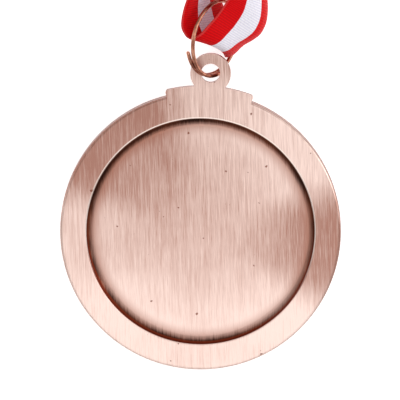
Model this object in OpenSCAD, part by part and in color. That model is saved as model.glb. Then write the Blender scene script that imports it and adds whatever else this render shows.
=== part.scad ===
// Cast medal with a blank recessed back, lying face down with its jump ring and neck ribbon.
// Origin: centre of the footprint on the table. +X right, +Y from the disc to the ribbon, +Z up.

/* [Medal] */
// Diameter of the disc
disc_d = 50; // [48:0.5:52]
// Thickness of the disc
disc_t = 3.2; // [3:0.1:3.4]
// Diameter of the mouth of the round recess in the back
recess_d = 40.6; // [38:0.2:42]
// Depth of the recess
recess_depth = 0.9; // [0.6:0.1:1]
// Width of the coved wall between the recess's mouth and its floor
cove_w = 1.3; // [1:0.1:1.5]
// Radius of the round collar under the ear
collar_r = 26.3; // [26:0.1:26.6]
// Half of the angle that the collar spans
collar_angle = 17.5; // [15:0.5:19]

/* [Ear] */
// Distance from the disc's centre to the ear's centre
ear_y = 28.6; // [28.4:0.1:28.8]
// Radius of the ear
ear_r = 3.6; // [3.4:0.1:3.8]
// Thickness of the ear and collar, flush with the back
ear_t = 1.2; // [1:0.1:1.3]
// Radius of the hole through the ear
hole_r = 1.7; // [1.65:0.05:1.8]

/* [Front relief] */
// Diameter of the plain centre seat on the front
seat_d = 25; // [20:1:26]
// Leaves on each branch of the wreath
leaves = 9; // [6:1:10]

/* [Jump ring] */
// Diameter of the ring's wire
wire_d = 0.7; // [0.6:0.02:0.72]
// Radius of the ring to the middle of its wire
ring_r = 6.78; // [6.6:0.02:6.9]
// Angle that the coil of wire turns through
ring_turn = 460; // [440:5:470]
// Sideways step of the coil in one full turn
ring_pitch = 0.74; // [0.74:0.01:0.78]

/* [Ribbon] */
// Width of the ribbon
ribbon_w = 12.5; // [12:0.1:12.5]
// Thickness of the ribbon
ribbon_t = 0.35; // [0.25:0.05:0.4]
// Outer diameter of the rolled-up ribbon
roll_d = 22; // [20:1:24]

/* [Hidden] */
$fn = 96;

disc_r = disc_d / 2;
// The ring under the ear lifts that end, so the disc leans about its far edge
lean = 3;
// The middle of the whole object's length, counted from the disc's centre
mid_y = 27.43;

rim_round = 0.45;
floor_r = recess_d / 2 - cove_w;
front_rim_w = 2.2;
front_depth = 0.5;

ring_centre = [0.65, 34.73, 6.1];
// Directions in the ring's plane, away from the ear and down its slope
ring_up = [0.2, 0.973, -0.119];
ring_down = [0.562, -0.214, -0.799];
ring_axis = cross(ring_up, ring_down);
// The coil starts this far before its lowest point
ring_start = -60;
ring_steps = 92;
ring_sides = 12;

strip_steps = 4;
strip_cuts = 6;
roll_centre = [-9.6, 69, 0];
bend_y = 58;

function unit(v) = v / norm(v);

// ---------- placing ----------

module on_table() { translate([0, -mid_y, 0]) children(); }

module leaned() {
  on_table() translate([0, -disc_r, 0]) rotate([lean, 0, 0]) translate([0, disc_r, 0]) children();
}

// ---------- medal body ----------

function polar(r, a) = r * [cos(a), sin(a)];

function arc_points(centre, r, from, to, steps) =
  [for (i = [0:steps]) centre + polar(r, from + (to - from) * i / steps)];

// Half of the disc's section, with a recess above and a plain raised rim below
module disc_section() {
  polygon(concat(
    [[0, front_depth], [disc_r - front_rim_w - 0.4, front_depth], [disc_r - front_rim_w, 0]],
    arc_points([disc_r - rim_round, rim_round], rim_round, -90, 0, 4),
    arc_points([disc_r - rim_round, disc_t - rim_round], rim_round, 0, 90, 4),
    [[recess_d / 2 + 0.25, disc_t], [recess_d / 2, disc_t - 0.12]],
    [for (i = [1:5]) let (a = 90 * i / 5)
      [recess_d / 2 - cove_w * (1 - cos(a)) * 0.9 - 0.1 * cove_w * i / 5,
       disc_t - 0.12 - (recess_depth - 0.12) * sin(a)]],
    [[0, disc_t - recess_depth]]
  ));
}

// The collar's outline: an arc outside the disc, with its two corners eased
module collar_outline() {
  ease = 0.45;
  ease_angle = ease / collar_r * 180 / PI;
  full = collar_angle - ease_angle;
  polygon(concat(
    arc_points([0, 0], collar_r, 90 + full, 90 - full, 20),
    [polar(collar_r - 0.3 * ease, 90 - full - 0.7 * ease_angle), polar(collar_r - ease, 90 - collar_angle)],
    arc_points([0, 0], disc_r - 1.5, 90 - collar_angle, 90 + collar_angle, 8),
    [polar(collar_r - ease, 90 + collar_angle), polar(collar_r - 0.3 * ease, 90 + full + 0.7 * ease_angle)]
  ));
}

module ear_blank() {
  neck_w = 5.6;
  translate([0, 0, disc_t - ear_t]) linear_extrude(ear_t) {
    collar_outline();
    translate([0, ear_y]) circle(ear_r);
    translate([-neck_w / 2, disc_r - 1]) square([neck_w, ear_y - disc_r]);
  }
}

module leaf() {
  leaf_l = 3.6;
  arc_r = 3.2;
  linear_extrude(0.45) intersection() {
    translate([arc_r - leaf_l * 0.22, 0]) circle(arc_r);
    translate([-arc_r + leaf_l * 0.22, 0]) circle(arc_r);
  }
}

module wreath() {
  wreath_r = (seat_d / 2 + disc_r - front_rim_w) / 2;
  for (side = [-1, 1], i = [0:leaves - 1], row = [-1, 1]) {
    a = -90 + side * (14 + i * 15);
    rotate(a) translate([wreath_r + row * 1.3, 0, front_depth - 0.4]) rotate(side * (row * 28) ) leaf();
  }
}

module medal_body() {
  color([0.80, 0.58, 0.50]) leaned() {
    difference() {
      union() {
        rotate_extrude() disc_section();
        ear_blank();
        wreath();
      }
      translate([0, ear_y + 0.1, disc_t - ear_t - 1]) cylinder(r = hole_r, h = ear_t + 2);
      translate([0, 0, -1]) cylinder(d = seat_d, h = front_depth + 1.3);
    }
  }
}

// ---------- jump ring ----------

// Radius of the coil at a turn angle: its first end springs straight, so it crosses the coil
function coil_r(a) = ring_r + (a < 60 ? 0.21 * sin((a - 60) * 1.5) * sin((a + 10) * 1.2) : 0);

// Middle of the wire at an angle counted from the ring's lowest point
function coil_point(a) = ring_centre
  - coil_r(a) * cos(a) * ring_up + coil_r(a) * sin(a) * ring_down
  + ring_pitch * (1.05 - (a - ring_start) / 360) * ring_axis;

function coil_radial(a) = -cos(a) * ring_up + sin(a) * ring_down;

function wire_ring(a) = [for (k = [0:ring_sides - 1]) let (b = 360 * k / ring_sides)
  coil_point(a) + wire_d / 2 * (cos(b) * coil_radial(a) + sin(b) * ring_axis)];

// Closed tube through rings of the same number of points
module tube(rings) {
  n = len(rings);
  m = len(rings[0]);
  points = [for (ring = rings) for (p = ring) p];
  sides = [for (i = [0:n - 2], k = [0:m - 1], half = [0, 1])
    let (a = i * m + k, b = i * m + (k + 1) % m)
    half == 0 ? [a, a + m, b + m] : [a, b + m, b]];
  // Each end is closed by triangles that zigzag between its two halves
  first = [for (k = [0:m / 2 - 2], half = [0, 1])
    half == 0 ? [k, k + 1, m - 2 - k] : [k, m - 2 - k, m - 1 - k]];
  last = [for (t = first) [for (k = [2:-1:0]) (n - 1) * m + t[k]]];
  polyhedron(points, concat(sides, first, last), convexity = 6);
}

module jump_ring() {
  color([0.72, 0.46, 0.34]) on_table()
    tube([for (i = [0:ring_steps]) wire_ring(ring_start + ring_turn * i / ring_steps)]);
}

// ---------- ribbon ----------

// Each station is the middle of the ribbon, the direction across its width, and how far
// the middle stands proud of its two edges
front_leg = [
  [[1.7, 33.5, 8.1], [0.55, -0.33, -0.77], [1.4, 0.1, 1.3]],
  [[2.6, 33.9, 8.4], [0.57, -0.36, -0.74], [1.3, -0.1, 1.4]],
  [[3.8, 34.8, 8.4], [0.59, -0.4, -0.7], [1.2, -0.4, 1.5]],
  [[5, 36.3, 8.2], [0.6, -0.41, -0.68], [1.1, -0.5, 1.6]],
  [[5.9, 38, 8], [0.6, -0.4, -0.69], [1, -0.5, 1.5]],
  [[6.5, 40.5, 7.7], [0.58, -0.3, -0.76], [0.9, -0.3, 1.2]],
  [[6.2, 44.5, 7.1], [0.4, -0.12, -0.91], [0.5, 0, 0.5]],
  [[4, 49.5, 6.6], [0.15, 0.02, -0.98], [0.1, 0, 0.1]],
  [[1, 53.5, 6.3], [0, 0, -1], [0, 0, 0]],
  [[0.9, 57, 6.3], [0, 0, -1], [0, 0, 0]]
];
back_leg = [
  [[0.3, 57, 6.3], [0, 0, -1], [0, 0, 0]],
  [[-0.1, 54, 6.3], [0, 0, -1], [0, 0, 0]],
  [[-1.4, 49.5, 6.3], [0.1, 0, -1], [0, 0, 0]],
  [[-2.2, 44.5, 6.3], [0.3, 0.05, -0.95], [0.1, 0, 0.1]],
  [[-2, 40.5, 6.3], [0.52, 0.08, -0.85], [0.2, 0, 0.3]],
  [[-1.3, 37.2, 6.2], [0.65, 0.08, -0.75], [0.3, 0, 0.5]],
  [[-0.5, 34.9, 6], [0.6, -0.1, -0.79], [0.8, 0.2, 0.8]],
  [[0.1, 33.7, 6], [0.55, -0.24, -0.8], [1.2, 0.3, 1]]
];
turn = [[[0.8, 33.2, 6.8], [0.53, -0.32, -0.79], [1.5, 0.3, 1.2]]];
stations = concat(back_leg, turn, front_leg);

// A smooth curve through four values
function smooth(a, b, c, d, t) = 0.5 * (2 * b + (c - a) * t
  + (2 * a - 5 * b + 4 * c - d) * t * t + (3 * b - a - 3 * c + d) * t * t * t);

function at(list, i) = list[max(0, min(len(list) - 1, i))];

function along(list, field, i, t) =
  smooth(at(list, i - 1)[field], at(list, i)[field], at(list, i + 1)[field], at(list, i + 2)[field], t);

function strip_path() = [for (i = [0:len(stations) - 2], k = [0:strip_steps - 1])
  let (t = k / strip_steps)
  [along(stations, 0, i, t), unit(along(stations, 1, i, t)), along(stations, 2, i, t)]];

// One outline of the ribbon's thickness, from edge to edge over its arched middle and back
function strip_section(path, i) =
  let (heading = unit(at(path, i + 1)[0] - at(path, i - 1)[0]),
       across = path[i][1],
       bulge = path[i][2],
       half_w = ribbon_w / 2,
       chord = half_w * (1 - 0.6 * pow(norm(bulge) / half_w, 2)),
       normal = unit(cross(heading, across)) * ribbon_t / 2)
  [for (side = [1, -1], k = [0:strip_cuts])
    let (s = side * (1 - 2 * k / strip_cuts))
    path[i][0] + s * chord * across - s * s * bulge + side * normal];

module ribbon_loop() {
  path = strip_path();
  color([0.78, 0.10, 0.12]) on_table() tube([for (i = [0:len(path) - 1]) strip_section(path, i)]);
}

// Rows of thread across the lap where the ribbon's two ends are sewn together
module seam_stitches() {
  stitch_l = 1.1;
  thread_d = 0.24;
  leg_end = front_leg[len(front_leg) - 1][0];
  color([0.85, 0.12, 0.14]) on_table() for (row = [0:2], k = [0:5])
    translate([leg_end[0] + ribbon_t / 2, leg_end[1] - 2 + row * 0.8, 1.6 + k * 1.8])
      cylinder(d = thread_d, h = stitch_l, $fn = 16);
}

module ribbon_roll() {
  lead_t = 0.95;
  lead_x = roll_centre[0] + roll_d / 2 - lead_t;
  color([0.78, 0.10, 0.12]) on_table() {
    translate([lead_x, bend_y + 0.6, 0]) cube([lead_t, roll_centre[1] - bend_y, ribbon_w]);
    translate(roll_centre) cylinder(d = roll_d, h = ribbon_w);
  }
}

medal_body();
jump_ring();
ribbon_loop();
seam_stitches();
ribbon_roll();
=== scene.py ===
"""Looks of a cast medal on a jump ring, with its neck ribbon rolled up past the ear. Metres throughout."""

import math

import bpy
import numpy as np
from mathutils import Matrix, Vector


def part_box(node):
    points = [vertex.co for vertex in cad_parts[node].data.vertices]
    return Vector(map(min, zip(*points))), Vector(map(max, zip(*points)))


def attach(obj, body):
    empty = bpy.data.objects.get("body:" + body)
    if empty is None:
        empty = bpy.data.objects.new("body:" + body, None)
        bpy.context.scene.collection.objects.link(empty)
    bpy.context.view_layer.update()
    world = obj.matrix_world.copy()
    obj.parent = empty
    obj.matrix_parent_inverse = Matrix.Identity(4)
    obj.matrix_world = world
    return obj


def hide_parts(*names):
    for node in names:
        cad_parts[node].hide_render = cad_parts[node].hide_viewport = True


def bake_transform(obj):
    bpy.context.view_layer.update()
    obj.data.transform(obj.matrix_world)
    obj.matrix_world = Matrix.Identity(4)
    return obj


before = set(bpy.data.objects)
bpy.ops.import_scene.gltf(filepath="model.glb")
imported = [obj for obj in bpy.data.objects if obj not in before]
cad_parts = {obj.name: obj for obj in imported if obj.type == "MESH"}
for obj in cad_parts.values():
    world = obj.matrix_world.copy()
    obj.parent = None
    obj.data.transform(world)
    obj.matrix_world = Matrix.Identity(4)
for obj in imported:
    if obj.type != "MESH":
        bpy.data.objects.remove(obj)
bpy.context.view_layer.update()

MM = 0.001

# Driving sizes, as in the CAD model
DISC_R = 25 * MM
DISC_T = 3.2 * MM
RECESS_R = 20.3 * MM
LEAN = math.radians(3)
WIRE_D = 0.7 * MM
RING_R = 6.78 * MM
RING_PITCH = 0.74 * MM
RING_START = -60.0
RING_TURN = 460.0
RIBBON_W = 12.5 * MM
RIBBON_T = 0.35 * MM

RIM_ROUND = 0.45 * MM
# Where the disc's centre lies in the frame, from the lowest Y of its leaning rim
DISC_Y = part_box("medal_body")[0].y + DISC_R + (DISC_T - RIM_ROUND) * math.sin(LEAN)


def place(point_mm):
    """A point counted in millimetres from the disc's centre on the table, in the frame."""
    return Vector((point_mm[0] * MM, point_mm[1] * MM + DISC_Y, point_mm[2] * MM))


def on_medal(x, y, z):
    """A point of the leaning medal's own frame, in the row frame."""
    back = y + DISC_R
    return Vector((
        x,
        DISC_Y - DISC_R + back * math.cos(LEAN) - z * math.sin(LEAN),
        back * math.sin(LEAN) + z * math.cos(LEAN),
    ))


# ---------- camera ----------

CAMERA_TILT = math.radians(7)
CAMERA_ROLL = math.radians(3.65)
CAMERA_DISTANCE = 1.5
VIEW_WIDTH = 71.2 * MM
# Where the middle of the recess's mouth sits, to the right of and below the middle of the view
AIM_RIGHT = 0.08 * MM
AIM_DOWN = 5.72 * MM


def make_camera():
    towards = Vector((0, math.sin(CAMERA_TILT), math.cos(CAMERA_TILT)))
    flat_right = Vector((1, 0, 0))
    flat_up = towards.cross(flat_right)
    right = math.cos(CAMERA_ROLL) * flat_right + math.sin(CAMERA_ROLL) * flat_up
    up = -math.sin(CAMERA_ROLL) * flat_right + math.cos(CAMERA_ROLL) * flat_up
    aim = on_medal(0, 0, DISC_T) - right * AIM_RIGHT + up * AIM_DOWN
    data = bpy.data.cameras.new("camera")
    data.sensor_width = 36
    data.lens = data.sensor_width * CAMERA_DISTANCE / VIEW_WIDTH
    data.clip_start = 0.05
    camera = bpy.data.objects.new("camera", data)
    bpy.context.scene.collection.objects.link(camera)
    camera.location = aim + towards * CAMERA_DISTANCE
    rotation = np.array([right, up, towards]).T
    camera.rotation_euler = Matrix(rotation.tolist()).to_euler()
    bpy.context.scene.camera = camera


make_camera()


# ---------- materials ----------

class Nodes:
    """Short calls for building one material's node tree."""

    def __init__(self, name):
        self.material = bpy.data.materials.new(name)
        self.material.use_nodes = True
        self.tree = self.material.node_tree
        self.shader = self.tree.nodes["Principled BSDF"]

    def add(self, kind, **settings):
        node = self.tree.nodes.new(kind)
        for key, value in settings.items():
            setattr(node, key, value)
        return node

    def link(self, source, target):
        self.tree.links.new(source, target)

    def feed(self, node, index, value):
        if isinstance(value, bpy.types.NodeSocket):
            self.link(value, node.inputs[index])
        else:
            node.inputs[index].default_value = value

    def math(self, operation, a, b=0.0, c=0.0, clamp=False):
        node = self.add("ShaderNodeMath", operation=operation, use_clamp=clamp)
        for index, value in enumerate((a, b, c)):
            self.feed(node, index, value)
        return node.outputs[0]

    def fade(self, value, low, high, at_low=0.0, at_high=1.0):
        """at_low below low, at_high above high, and smooth in between."""
        node = self.add("ShaderNodeMapRange", interpolation_type="SMOOTHSTEP", clamp=True)
        for index, item in enumerate((value, low, high, at_low, at_high)):
            self.feed(node, index, item)
        return node.outputs[0]

    def mix(self, share, a, b):
        node = self.add("ShaderNodeMix", data_type="RGBA", blend_type="MIX")
        self.feed(node, 0, share)
        self.feed(node, 6, a)
        self.feed(node, 7, b)
        return node.outputs[2]

    def noise(self, vector, scale, detail=3.0, rough=0.5):
        node = self.add("ShaderNodeTexNoise", noise_dimensions="3D")
        self.link(vector, node.inputs["Vector"])
        node.inputs["Scale"].default_value = scale
        node.inputs["Detail"].default_value = detail
        node.inputs["Roughness"].default_value = rough
        return node.outputs["Fac"]

    def stretched(self, vector, scale, turn=0.0):
        """The vector turned about Z, then scaled along each axis."""
        node = self.add("ShaderNodeMapping", vector_type="TEXTURE")
        self.link(vector, node.inputs["Vector"])
        node.inputs["Rotation"].default_value = (0, 0, turn)
        node.inputs["Scale"].default_value = tuple(1 / v for v in scale)
        return node.outputs[0]

    def split(self, vector):
        node = self.add("ShaderNodeSeparateXYZ")
        self.link(vector, node.inputs[0])
        return node.outputs

    def bump(self, height, distance, strength=1.0, normal=None):
        node = self.add("ShaderNodeBump")
        node.inputs["Strength"].default_value = strength
        node.inputs["Distance"].default_value = distance
        self.link(height, node.inputs["Height"])
        if normal is not None:
            self.link(normal, node.inputs["Normal"])
        return node.outputs[0]

    def place(self):
        return self.add("ShaderNodeTexCoord").outputs["Object"]


def srgb(red, green, blue):
    """A display colour of 0 to 255, as the linear colour that shaders take."""
    def linear(v):
        v = v / 255
        return v / 12.92 if v <= 0.04045 else ((v + 0.055) / 1.055) ** 2.4
    return (linear(red), linear(green), linear(blue), 1)


COPPER = (0.92, 0.705, 0.63, 1)
COPPER_DULL_AND_SHADE = (0.39, 0.195, 0.15, 1)
COPPER_HIGHLIGHT = (0.99, 0.84, 0.76, 1)
STAIN = (0.36, 0.15, 0.10, 1)
PATINA = srgb(60, 33, 25)
PATINA_RED = srgb(124, 66, 44)
LIT_WALL_RED = srgb(128, 52, 30)
# Painted shade in patches, where the brushed plate's reflection shows dark lobes: direction from the disc's
# middle, half of the angle spanned, and how much
PAINTED_SHADE_PATCHES = ((-3, 34, 0.92), (135, 40, 0.8), (183, 42, 0.3), (95, 40, 0.15))
# Half of the angle over which a painted shade patch is at its fullest
PATCH_CORE = 4
# The side of the recess where the cloth reached furthest into the corner, from the disc's middle
CLEAN_SIDE = math.radians(-22)
# Cells of the brush lines' noise to the metre: across, along and through the plate
BRUSH_FINE = (8500, 230, 300)
BRUSH_BROAD = (2300, 70, 200)


def facing(m, x, y, radius, angle):
    """The cosine between a point's direction from the disc's middle and the given angle."""
    ahead = m.math("MULTIPLY_ADD", x, math.cos(angle), m.math("MULTIPLY", y, math.sin(angle)))
    return m.math("DIVIDE", ahead, radius)


def dull_and_painted_shade(m, x, y, radius):
    """How dull the plate is, with painted shade, from 0 to 1: the middle, the ear, patches of painted shade
    standing in for the brushed metal's dark reflection lobes that spread towards the edge, and a painted
    reflection gradient from top to bottom.
    """
    reach = m.fade(radius, 5 * MM, 24 * MM)
    middle = m.fade(radius, 4 * MM, 24 * MM, 0.62, 0.12)
    ear = m.fade(radius, 25 * MM, 30 * MM, 0.0, 0.28)
    dull_and_shade = m.math("ADD", middle, ear)
    # painted shade: each patch darkens the plate where its reflection is dark
    for direction, spread, strength in PAINTED_SHADE_PATCHES:
        cosine = facing(m, x, y, radius, math.radians(direction))
        shade_patch = m.fade(cosine, math.cos(math.radians(spread)), math.cos(math.radians(PATCH_CORE)))
        dull_and_shade = m.math("MULTIPLY_ADD", m.math("MULTIPLY", shade_patch, reach), strength, dull_and_shade)
    # painted reflection and shade: lighter towards the bottom of the disc, and darker again along its lowest
    # edge
    dull_and_shade = m.math("SUBTRACT", dull_and_shade, m.fade(y, -16 * MM, 16 * MM, 0.16, -0.03))
    return m.math("ADD", dull_and_shade, m.fade(y, -22 * MM, -17 * MM, 0.14, 0.0))


def add_patina(m, metal, x, y, radius, streak, cloud):
    """Patina darkest against the recess's wall, fading in streaks over the floor, with painted light on the
    wall's upper edge below the middle; also how much patina there is.
    """
    ragged = m.math("MULTIPLY_ADD", m.math("SUBTRACT", streak, 0.5), 1.6 * MM, radius)
    cleaned = m.fade(facing(m, x, y, radius, CLEAN_SIDE), 0.6, 1.0, 0.0, 0.4 * MM)
    ragged = m.math("SUBTRACT", ragged, cleaned)
    lower = m.fade(m.math("DIVIDE", y, radius), -0.35, 0.25, 1.0, 0.0)
    ragged = m.math("MULTIPLY_ADD", lower, -0.1 * MM, ragged)
    inner = m.fade(ragged, RECESS_R - 1.9 * MM, RECESS_R - 0.3 * MM)
    shifted = m.math("MULTIPLY_ADD", lower, -0.24 * MM, radius)
    outer = m.fade(shifted, RECESS_R - 0.1 * MM, RECESS_R + 0.06 * MM, 1.0, 0.0)
    ring = m.math("MULTIPLY", m.math("POWER", inner, 1.9), outer)
    patina = m.mix(m.fade(cloud, 0.42, 0.72), PATINA, PATINA_RED)
    # painted light: below the middle the wall's upper edge, which faces the light, is painted a brighter
    # red-brown over the dark patina
    edge = m.math("MULTIPLY", m.fade(radius, RECESS_R - 0.4 * MM, RECESS_R - 0.1 * MM), lower)
    patina = m.mix(edge, patina, LIT_WALL_RED)
    stained = m.fade(ragged, RECESS_R - 3.2 * MM, RECESS_R - 0.5 * MM, 0.0, 0.75)
    stain = m.math("MULTIPLY", stained, outer)
    return m.mix(ring, m.mix(stain, metal, STAIN), patina), ring


def paint_mouth_highlight(m, colour, y, radius):
    """A painted highlight along the recess's mouth, where its rounded edge catches the light, strongest on
    the ear's side.
    """
    highlight_band = m.math("MULTIPLY", m.fade(radius, RECESS_R, RECESS_R + 0.08 * MM),
                    m.fade(radius, RECESS_R + 0.16 * MM, RECESS_R + 0.3 * MM, 1.0, 0.0))
    highlight_side = m.fade(m.math("DIVIDE", y, radius), -0.6, 0.1, 0.0, 0.85)
    return m.mix(m.math("MULTIPLY", highlight_band, highlight_side), colour, COPPER_HIGHLIGHT)


def darken_wall(m, colour, y, z, radius):
    """Patina kept on the side walls, which the brush and the cloth miss."""
    depth = m.math("MULTIPLY_ADD", z, -math.cos(LEAN), DISC_T)
    depth = m.math("MULTIPLY_ADD", m.math("ADD", y, DISC_R), math.sin(LEAN), depth)
    wall = m.math("MULTIPLY", m.fade(radius, DISC_R - 0.5 * MM, DISC_R - 0.2 * MM),
                  m.fade(depth, 0.12 * MM, 0.3 * MM))
    return m.mix(m.math("MULTIPLY", wall, 0.93), colour, PATINA_RED)


def copper_material():
    """Brushed antique copper plate: straight brush lines, dark patina left in the recess's corner; with
    painted shade patches, a painted reflection gradient, a painted highlight along the recess's mouth and
    painted light on the recess wall's lower edge.
    """
    m = Nodes("copper_brushed")
    place_out = m.place()
    x, y, z = m.split(place_out)[:3]
    y = m.math("SUBTRACT", y, DISC_Y)
    across = m.math("MULTIPLY", x, x)
    radius = m.math("SQRT", m.math("MULTIPLY_ADD", y, y, across))
    # brush lines run along the medal's height, a few degrees off it
    fine = m.noise(m.stretched(place_out, BRUSH_FINE, turn=0.10), 1.0, 3.0, 0.7)
    broad = m.noise(m.stretched(place_out, BRUSH_BROAD, turn=0.075), 1.0, 2.0, 0.5)
    cloud = m.noise(place_out, 110.0, 3.0, 0.55)
    streak = m.math("MULTIPLY_ADD", fine, 0.7, m.math("MULTIPLY", broad, 0.3))
    uneven = m.math("MULTIPLY_ADD", streak, -2.1, 1.05)
    clouded = m.math("MULTIPLY_ADD", cloud, -0.4, 0.2)
    # dull copper from the brush lines and tone clouds, plus painted shade from the patches and the gradient
    dull_and_shade = m.math("ADD", dull_and_painted_shade(m, x, y, radius), m.math("ADD", uneven, clouded), clamp=True)
    metal = m.mix(dull_and_shade, COPPER, COPPER_DULL_AND_SHADE)
    colour, patina_share = add_patina(m, metal, x, y, radius, streak, cloud)
    # painted highlight along the recess's mouth, then patina on the side walls
    colour = darken_wall(m, paint_mouth_highlight(m, colour, y, radius), y, z, radius)
    # pits of bare dark metal
    pits = m.fade(m.noise(place_out, 950.0, 1.0, 0.5), 0.77, 0.8)
    colour = m.mix(m.math("MULTIPLY", pits, 0.8), colour, PATINA_RED)
    m.link(colour, m.shader.inputs["Base Color"])
    m.shader.inputs["Metallic"].default_value = 1.0
    rough = m.math("ADD", m.fade(streak, 0.3, 0.7, 0.28, 0.40), m.math("MULTIPLY", patina_share, 0.15))
    m.link(rough, m.shader.inputs["Roughness"])
    scratch = m.bump(fine, 0.012 * MM, 0.6)
    waves = m.bump(broad, 0.02 * MM, 0.4, normal=scratch)
    pitted = m.bump(m.math("SUBTRACT", 1.0, pits), 0.05 * MM, 0.5, normal=waves)
    m.link(pitted, m.shader.inputs["Normal"])
    return m.material


def wire_material():
    """Bright copper-plated wire with drawing marks and a little tarnish."""
    m = Nodes("copper_wire")
    place_out = m.place()
    cloud = m.noise(place_out, 420.0, 3.0, 0.6)
    fine = m.noise(m.stretched(place_out, (2600, 2600, 900)), 1.0, 2.0, 0.5)
    colour = m.mix(m.fade(cloud, 0.35, 0.7), srgb(150, 92, 72), srgb(212, 150, 124))
    m.link(colour, m.shader.inputs["Base Color"])
    m.shader.inputs["Metallic"].default_value = 1.0
    m.link(m.fade(fine, 0.3, 0.7, 0.14, 0.24), m.shader.inputs["Roughness"])
    m.link(m.bump(fine, 0.003 * MM, 0.4), m.shader.inputs["Normal"])
    return m.material


RIB_PITCH = 0.42 * MM
RED = srgb(230, 9, 15)
RED_TROUGH_SHADE = srgb(202, 6, 12)
WHITE = srgb(252, 249, 255)
WHITE_TROUGH_SHADE = srgb(232, 228, 243)
SELVEDGE = srgb(226, 84, 82)
RIB_SHADE = (0.02, 0.01, 0.015, 1)
STRIPE_HALF = RIBBON_W / 6


def ribbon_material():
    """Ribbed weave with a white stripe between two red ones. The map holds across and along in metres."""
    m = Nodes("ribbon_weave")
    weave = m.add("ShaderNodeUVMap", uv_map="weave").outputs[0]
    across, along = m.split(weave)[:2]
    phase = m.math("MULTIPLY", along, math.tau / RIB_PITCH)
    rib = m.math("MULTIPLY_ADD", m.math("SINE", phase), 0.5, 0.5)
    yarn_noise = m.noise(m.stretched(weave, (9000, 1600, 1)), 1.0, 2.0, 0.6)
    edge = m.math("ABSOLUTE", across)
    # the stripe's edge steps from rib to rib
    wobble = m.math("MULTIPLY", m.math("SUBTRACT", yarn_noise, 0.5), 0.12 * MM)
    stripe = m.fade(m.math("ADD", edge, wobble), STRIPE_HALF - 0.05 * MM, STRIPE_HALF + 0.05 * MM)
    # painted shade: each rib's trough is darker, where the rib bump is low
    red = m.mix(rib, RED_TROUGH_SHADE, RED)
    white = m.mix(rib, WHITE_TROUGH_SHADE, WHITE)
    colour = m.mix(stripe, white, red)
    binding = m.fade(edge, RIBBON_W / 2 - 0.35 * MM, RIBBON_W / 2 - 0.2 * MM)
    colour = m.mix(m.math("MULTIPLY", binding, 0.5), colour, SELVEDGE)
    colour = m.mix(m.fade(yarn_noise, 0.3, 0.75, 0.0, 0.18), colour, RIB_SHADE)
    m.link(colour, m.shader.inputs["Base Color"])
    m.shader.inputs["Roughness"].default_value = 0.55
    m.shader.inputs["Sheen Weight"].default_value = 0.02
    m.shader.inputs["Sheen Roughness"].default_value = 0.4
    m.shader.inputs["Specular IOR Level"].default_value = 0.05
    ribs = m.bump(rib, 0.045 * MM, 0.6)
    m.link(m.bump(yarn_noise, 0.03 * MM, 0.5, normal=ribs), m.shader.inputs["Normal"])
    return m.material


def thread_material():
    """Red sewing thread, with its twist as a fine slanting bump."""
    m = Nodes("sewing_thread")
    place_out = m.place()
    wave = m.add("ShaderNodeTexWave", wave_type="BANDS", bands_direction="DIAGONAL")
    m.link(place_out, wave.inputs["Vector"])
    wave.inputs["Scale"].default_value = 2600
    # painted shade: the thread is darker in its twist's grooves, where the bump is low
    colour = m.mix(wave.outputs["Fac"], srgb(120, 6, 12), srgb(196, 20, 28))
    m.link(colour, m.shader.inputs["Base Color"])
    m.shader.inputs["Roughness"].default_value = 0.7
    m.shader.inputs["Sheen Weight"].default_value = 0.08
    m.link(m.bump(wave.outputs["Fac"], 0.03 * MM), m.shader.inputs["Normal"])
    return m.material


def floor_material():
    m = Nodes("floor_white")
    m.shader.inputs["Base Color"].default_value = (0.93, 0.93, 0.93, 1)
    m.shader.inputs["Roughness"].default_value = 0.9
    m.shader.inputs["Specular IOR Level"].default_value = 0.1
    m.shader.inputs["Emission Color"].default_value = (1, 1, 1, 1)
    m.shader.inputs["Emission Strength"].default_value = 0.65
    return m.material


# ---------- mesh helpers ----------

def new_object(name, points, faces, material, smooth=True):
    mesh = bpy.data.meshes.new(name)
    mesh.from_pydata([tuple(p) for p in points], [], faces)
    mesh.materials.append(material)
    for polygon in mesh.polygons:
        polygon.use_smooth = smooth
    mesh.update()
    thing = bpy.data.objects.new(name, mesh)
    bpy.context.scene.collection.objects.link(thing)
    return thing


def tube(rings):
    """Points and faces of a closed tube through rings that all have the same number of points."""
    count = len(rings[0])
    points = [p for ring in rings for p in ring]
    faces = []
    for i in range(len(rings) - 1):
        for k in range(count):
            k2 = (k + 1) % count
            faces.append((i * count + k, i * count + k2, (i + 1) * count + k2, (i + 1) * count + k))
    faces.append(tuple(reversed(range(count))))
    last = (len(rings) - 1) * count
    faces.append(tuple(last + k for k in range(count)))
    return points, faces


def catmull(rows, i, t):
    """The smooth curve through the rows, between row i and the next."""
    last = len(rows) - 1
    a, b, c, d = (rows[max(0, min(last, i + k))] for k in (-1, 0, 1, 2))
    return 0.5 * (2 * b + (c - a) * t + (2 * a - 5 * b + 4 * c - d) * t**2
                  + (3 * b - a - 3 * c + d) * t**3)


# ---------- jump ring ----------

RING_CENTRE = place((0.65, 34.73, 6.1))
RING_UP = Vector((0.2, 0.973, -0.119))
RING_DOWN = Vector((0.562, -0.214, -0.799))
RING_AXIS = RING_UP.cross(RING_DOWN)
RING_STEPS = 420
RING_SIDES = 24
# Degrees round the coil: the first end springs clear below the first, and splays outwards below the second
SPRING_FROM = 60
SPLAY_FROM = -15
SPLAY = 0.5 * MM
BOW = 0.21 * MM
# How far along the ring's axis the first end lies, in pitches
FIRST_END = 1.05
# The cutter pinches each end to a blunt wedge over this length, by this share of the wire
PINCH_LENGTH = 0.45 * MM
PINCH = 0.55
# The very tip is rounded off
TIP_LENGTH = 0.12 * MM
TIP = 0.25


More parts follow.
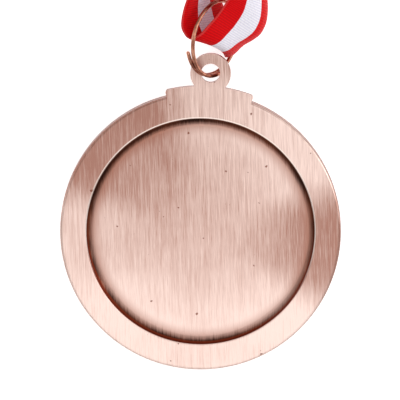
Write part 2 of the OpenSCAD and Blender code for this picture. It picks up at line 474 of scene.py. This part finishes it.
def ring_radius(a):
    """The coil's radius at a turn angle: its first end springs straight and crosses the coil."""
    if a >= SPRING_FROM:
        return RING_R
    splay = SPLAY * max(0.0, (SPLAY_FROM - a) / (SPLAY_FROM - RING_START)) ** 2
    bow = BOW * math.sin(math.radians((a - SPRING_FROM) * 1.5))
    bow *= math.sin(math.radians((a + 10) * 1.2))
    return RING_R + splay + bow


def ring_point(a):
    angle, r = math.radians(a), ring_radius(a)
    step = RING_PITCH * (FIRST_END - (a - RING_START) / 360)
    return RING_CENTRE - r * math.cos(angle) * RING_UP + r * math.sin(angle) * RING_DOWN + step * RING_AXIS


def make_jump_ring(material):
    rings = []
    for i in range(RING_STEPS + 1):
        a = RING_START + RING_TURN * i / RING_STEPS
        radial = -math.cos(math.radians(a)) * RING_UP + math.sin(math.radians(a)) * RING_DOWN
        from_end = min(i, RING_STEPS - i) / RING_STEPS * math.radians(RING_TURN) * RING_R
        pinch = 1 - PINCH * max(0.0, 1 - from_end / PINCH_LENGTH) ** 1.5
        round_off = 1 - TIP * max(0.0, 1 - from_end / TIP_LENGTH) ** 2
        r = WIRE_D / 2 * round_off
        rings.append([
            ring_point(a) + r * (math.cos(b) * radial * pinch + math.sin(b) * RING_AXIS)
            for b in (math.tau * k / RING_SIDES for k in range(RING_SIDES))
        ])
    points, faces = tube(rings)
    return new_object("jump_ring_wire", points, faces, material)


# ---------- ribbon ----------

# Middle of the ribbon, direction across its width, and how far the middle stands proud of the edges
BACK_LEG = [
    ((0.3, 57, 6.3), (0, 0, -1), (0, 0, 0)),
    ((-0.1, 54, 6.3), (0, 0, -1), (0, 0, 0)),
    ((-1.4, 49.5, 6.3), (0.1, 0, -1), (0, 0, 0)),
    ((-2.2, 44.5, 6.3), (0.3, 0.05, -0.95), (0.1, 0, 0.1)),
    ((-2, 40.5, 6.3), (0.52, 0.08, -0.85), (0.2, 0, 0.3)),
    ((-1.3, 37.3, 6.2), (0.65, 0.06, -0.75), (0.3, 0, 0.5)),
    ((-0.45, 35.1, 6), (0.61, -0.06, -0.79), (0.65, 0.15, 0.75)),
    ((0.15, 33.8, 6), (0.55, -0.23, -0.8), (1.15, 0.3, 1)),
]
TURN = [((0.8, 33.2, 6.8), (0.53, -0.32, -0.79), (1.5, 0.3, 1.2))]
FRONT_LEG = [
    ((1.7, 33.5, 8.1), (0.55, -0.33, -0.77), (1.4, 0.1, 1.3)),
    ((2.45, 34.05, 8.4), (0.54, -0.33, -0.77), (1.3, -0.1, 1.4)),
    ((3.5, 35.1, 8.4), (0.54, -0.35, -0.76), (1.2, -0.4, 1.5)),
    ((4.9, 36.4, 8.2), (0.58, -0.38, -0.72), (1.1, -0.5, 1.6)),
    ((6.1, 38.1, 8), (0.6, -0.4, -0.69), (1, -0.5, 1.5)),
    ((6.8, 40.5, 7.7), (0.58, -0.3, -0.76), (0.9, -0.3, 1.2)),
    ((6.6, 44.5, 7.1), (0.4, -0.12, -0.91), (0.5, 0, 0.5)),
    ((4, 49.5, 6.6), (0.15, 0.02, -0.98), (0.1, 0, 0.1)),
    ((1, 53.5, 6.3), (0, 0, -1), (0, 0, 0)),
    ((0.9, 57, 6.3), (0, 0, -1), (0, 0, 0)),
]

# A station that stands upright without an arch, and the height of its middle
UPRIGHT = ((0, 0, -1), (0, 0, 0))
MID_HEIGHT = 6.3
LEGS_END_Y = 57
# How far the lap's free end lies beside the front leg, and its x at the legs' end
LAP_SHIFT = 0.42
LAP_X = 1.32

ROLL_CENTRE = (-9.6, 69)
ROLL_OUTER = 11.0
ROLL_CORE = 2.4
ROLL_PITCH = 0.96
LAYER_GAP = 0.45
ROLL_STEP = 5.0
# Where the strip turns back in the core, from the roll's centre
CORE_TURN = (0.9, 0.4)
# How much the layers gape, and how much they waver up and down
GAPE = 0.035
WAVER = 0.05


def spiral(offset):
    """From the roll's edge to its core, as stations; offset is how far in this layer lies."""
    rows = []
    start = ROLL_OUTER - RIBBON_T / MM / 2 - offset
    degrees = 0.0
    while True:
        r = start - ROLL_PITCH * degrees / 360
        if r < ROLL_CORE:
            return rows
        a = math.radians(degrees)
        # layers press and gape a little from place to place
        loose = GAPE * math.sin(3.1 * a + 0.7) * math.sin(0.37 * a)
        x = ROLL_CENTRE[0] + (r + loose) * math.cos(a)
        y = ROLL_CENTRE[1] + (r + loose) * math.sin(a)
        rows.append(((x, y, MID_HEIGHT + WAVER * math.sin(1.7 * a)), *UPRIGHT))
        degrees += ROLL_STEP


def approach(x_from, x_to):
    """The straight stretch between the legs and the roll."""
    rows = []
    for y in (59, 61, 63, 65, 67):
        t = (y - LEGS_END_Y) / (ROLL_CENTRE[1] - LEGS_END_Y)
        rows.append(((x_from + (x_to - x_from) * t, y, MID_HEIGHT), *UPRIGHT))
    return rows


def ribbon_rows():
    """All stations of the closed loop, from the lap's free end round to the end beneath it."""
    outer, inner = spiral(0.0), spiral(LAYER_GAP)
    lap = [((x + LAP_SHIFT, y, z), w, b) for (x, y, z), w, b in FRONT_LEG[-2:]]
    core = [((ROLL_CENTRE[0] + CORE_TURN[0], ROLL_CENTRE[1] + CORE_TURN[1], MID_HEIGHT), *UPRIGHT)]
    return (lap + approach(LAP_X, outer[0][0][0]) + outer + core + inner[::-1]
            + approach(BACK_LEG[0][0][0], inner[0][0][0])[::-1] + BACK_LEG + TURN + FRONT_LEG)


STRIP_SPACING = 0.5
STRIP_CUTS = 14
# The share of the chord that an arch as high as half the width would take up
ARCH_TAKES = 0.6
# On the front leg the arch leans over to its lower edge: how much at most, from which x, over what width
SKEW = 0.9
SKEW_FROM = 3
SKEW_SPAN = 2.5
# The woven edge is thinner than the middle
EDGE_THICKNESS = 0.55


def strip_line(rows):
    """Points of the ribbon's own line, evenly enough spaced, each with its width and arch directions."""
    fields = [np.array([row[k] for row in rows], float) for k in range(3)]
    line = []
    for i in range(len(rows) - 1):
        gap = np.linalg.norm(fields[0][i + 1] - fields[0][i])
        steps = max(1, round(gap / STRIP_SPACING))
        for k in range(steps):
            line.append([catmull(f, i, k / steps) for f in fields])
    line.append([f[-1] for f in fields])
    return line


def section(middle, width, arch, heading):
    """A cut through the strip: the points of its outline, and how far across the weave each one lies."""
    half_w, half_t = RIBBON_W / MM / 2, RIBBON_T / MM / 2
    width = width / np.linalg.norm(width)
    normal = np.cross(heading / np.linalg.norm(heading), width)
    normal = normal / np.linalg.norm(normal)
    chord = half_w * (1 - ARCH_TAKES * (np.linalg.norm(arch) / half_w) ** 2)
    skew = SKEW * min(1.0, max(0.0, (middle[0] - SKEW_FROM) / SKEW_SPAN))
    points, across = [], []
    for side in (1, -1):
        for k in range(STRIP_CUTS + 1):
            s = side * (1 - 2 * k / STRIP_CUTS)
            thick = half_t * (EDGE_THICKNESS if abs(s) > 0.99 else 1.0)
            drop = s * s - skew * (s - s ** 3)
            points.append(place(middle + s * chord * width - drop * arch + side * thick * normal))
            across.append(s * half_w * MM)
    return points, across


def map_weave(ribbon, across, lengths):
    """The map that the weave's material reads, in metres across the strip and along it."""
    size = len(across[0])
    layer = ribbon.data.uv_layers.new(name="weave")
    for loop in ribbon.data.loops:
        row, k = divmod(loop.vertex_index, size)
        layer.data[loop.index].uv = (across[row][k], lengths[row] * MM)


def make_ribbon(material):
    line = strip_line(ribbon_rows())
    places = np.array([p for p, _, _ in line])
    gaps = np.linalg.norm(np.diff(places, axis=0), axis=1)
    lengths = np.concatenate([[0], np.cumsum(gaps)])
    last = len(line) - 1
    rings, across = [], []
    for i, (middle, width, arch) in enumerate(line):
        heading = places[min(last, i + 1)] - places[max(0, i - 1)]
        ring, ring_across = section(middle, width, arch, heading)
        rings.append(ring)
        across.append(ring_across)
    points, faces = tube(rings)
    ribbon = new_object("neck_ribbon", points, faces, material)
    map_weave(ribbon, across, lengths)
    return ribbon


# Millimetres from the disc's centre: the first stitch's foot, and the steps between rows and stitches
STITCH_FOOT = (1.62, 54.9, 1.6)
STITCH_ROWS = 3
STITCHES_IN_ROW = 6
ROW_STEP = 0.8
STITCH_STEP = 1.8
STITCH_LENGTH = 1.25
STITCH_RISE = 0.13
STITCH_DIP = 0.03
THREAD_R = 0.11
THREAD_SIDES = 10
STITCH_CUTS = 8


def stitch(foot):
    """The rings of one arc of thread."""
    rings = []
    for i in range(STITCH_CUTS + 1):
        t = i / STITCH_CUTS
        rise = STITCH_RISE * math.sin(math.pi * t)
        middle = foot + (rise - STITCH_DIP, 0, STITCH_LENGTH * t)
        r = THREAD_R * (0.55 + 0.45 * math.sin(math.pi * t))
        rings.append([
            place(middle + (r * math.cos(b), r * math.sin(b), 0))
            for b in (math.tau * n / THREAD_SIDES for n in range(THREAD_SIDES))
        ])
    return rings


def make_stitches(material):
    """Short arcs of thread that dip into the ribbon at both ends."""
    parts, faces = [], []
    x, y, z = STITCH_FOOT
    for row in range(STITCH_ROWS):
        for k in range(STITCHES_IN_ROW):
            foot = np.array((x, y + row * ROW_STEP, z + k * STITCH_STEP))
            points, sides = tube(stitch(foot))
            base = len(parts)
            parts += points
            faces += [tuple(base + v for v in face) for face in sides]
    return new_object("seam_thread", parts, faces, material)


# ---------- assembly ----------

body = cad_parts["medal_body"]
body.data.materials.clear()
body.data.materials.append(copper_material())

ring = make_jump_ring(wire_material())
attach(ring, "ring")
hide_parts("jump_ring")

ribbon = make_ribbon(ribbon_material())
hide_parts("ribbon_loop", "ribbon_roll")
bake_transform(ribbon)

thread = make_stitches(thread_material())
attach(thread, "ribbon")
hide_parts("seam_stitches")


# ---------- floor and light ----------

def make_floor():
    half = 1.2
    floor = new_object(
        "floor", [(-half, -half, 0), (half, -half, 0), (half, half, 0), (-half, half, 0)],
        [(0, 1, 2, 3)], floor_material(), smooth=False,
    )


def soft_light(name, place_at, aim, size, power):
    data = bpy.data.lights.new(name, "AREA")
    data.shape = "RECTANGLE"
    data.size, data.size_y = size
    data.energy = power
    light = bpy.data.objects.new(name, data)
    bpy.context.scene.collection.objects.link(light)
    light.location = place_at
    light.rotation_euler = (Vector(aim) - Vector(place_at)).to_track_quat("-Z", "Y").to_euler()
    light.visible_camera = False


make_floor()
DISC_MIDDLE = (0, DISC_Y, 0)
soft_light("key_near", (0.0, DISC_Y - 0.15, 0.32), DISC_MIDDLE, (0.34, 0.22), 0.22)
soft_light("fill_left", (-0.30, DISC_Y + 0.05, 0.22), DISC_MIDDLE, (0.16, 0.30), 0.10)
soft_light("fill_right", (0.34, DISC_Y + 0.08, 0.20), DISC_MIDDLE, (0.20, 0.30), 0.40)
soft_light("fill_far", (0.03, DISC_Y + 0.12, 0.34), DISC_MIDDLE, (0.34, 0.20), 0.19)

world = bpy.data.worlds.new("studio")
world.use_nodes = True
world.node_tree.nodes["Background"].inputs["Color"].default_value = (1, 1, 1, 1)
world.node_tree.nodes["Background"].inputs["Strength"].default_value = 0.5
bpy.context.scene.world = world
bpy.context.scene.view_settings.view_transform = "Standard"
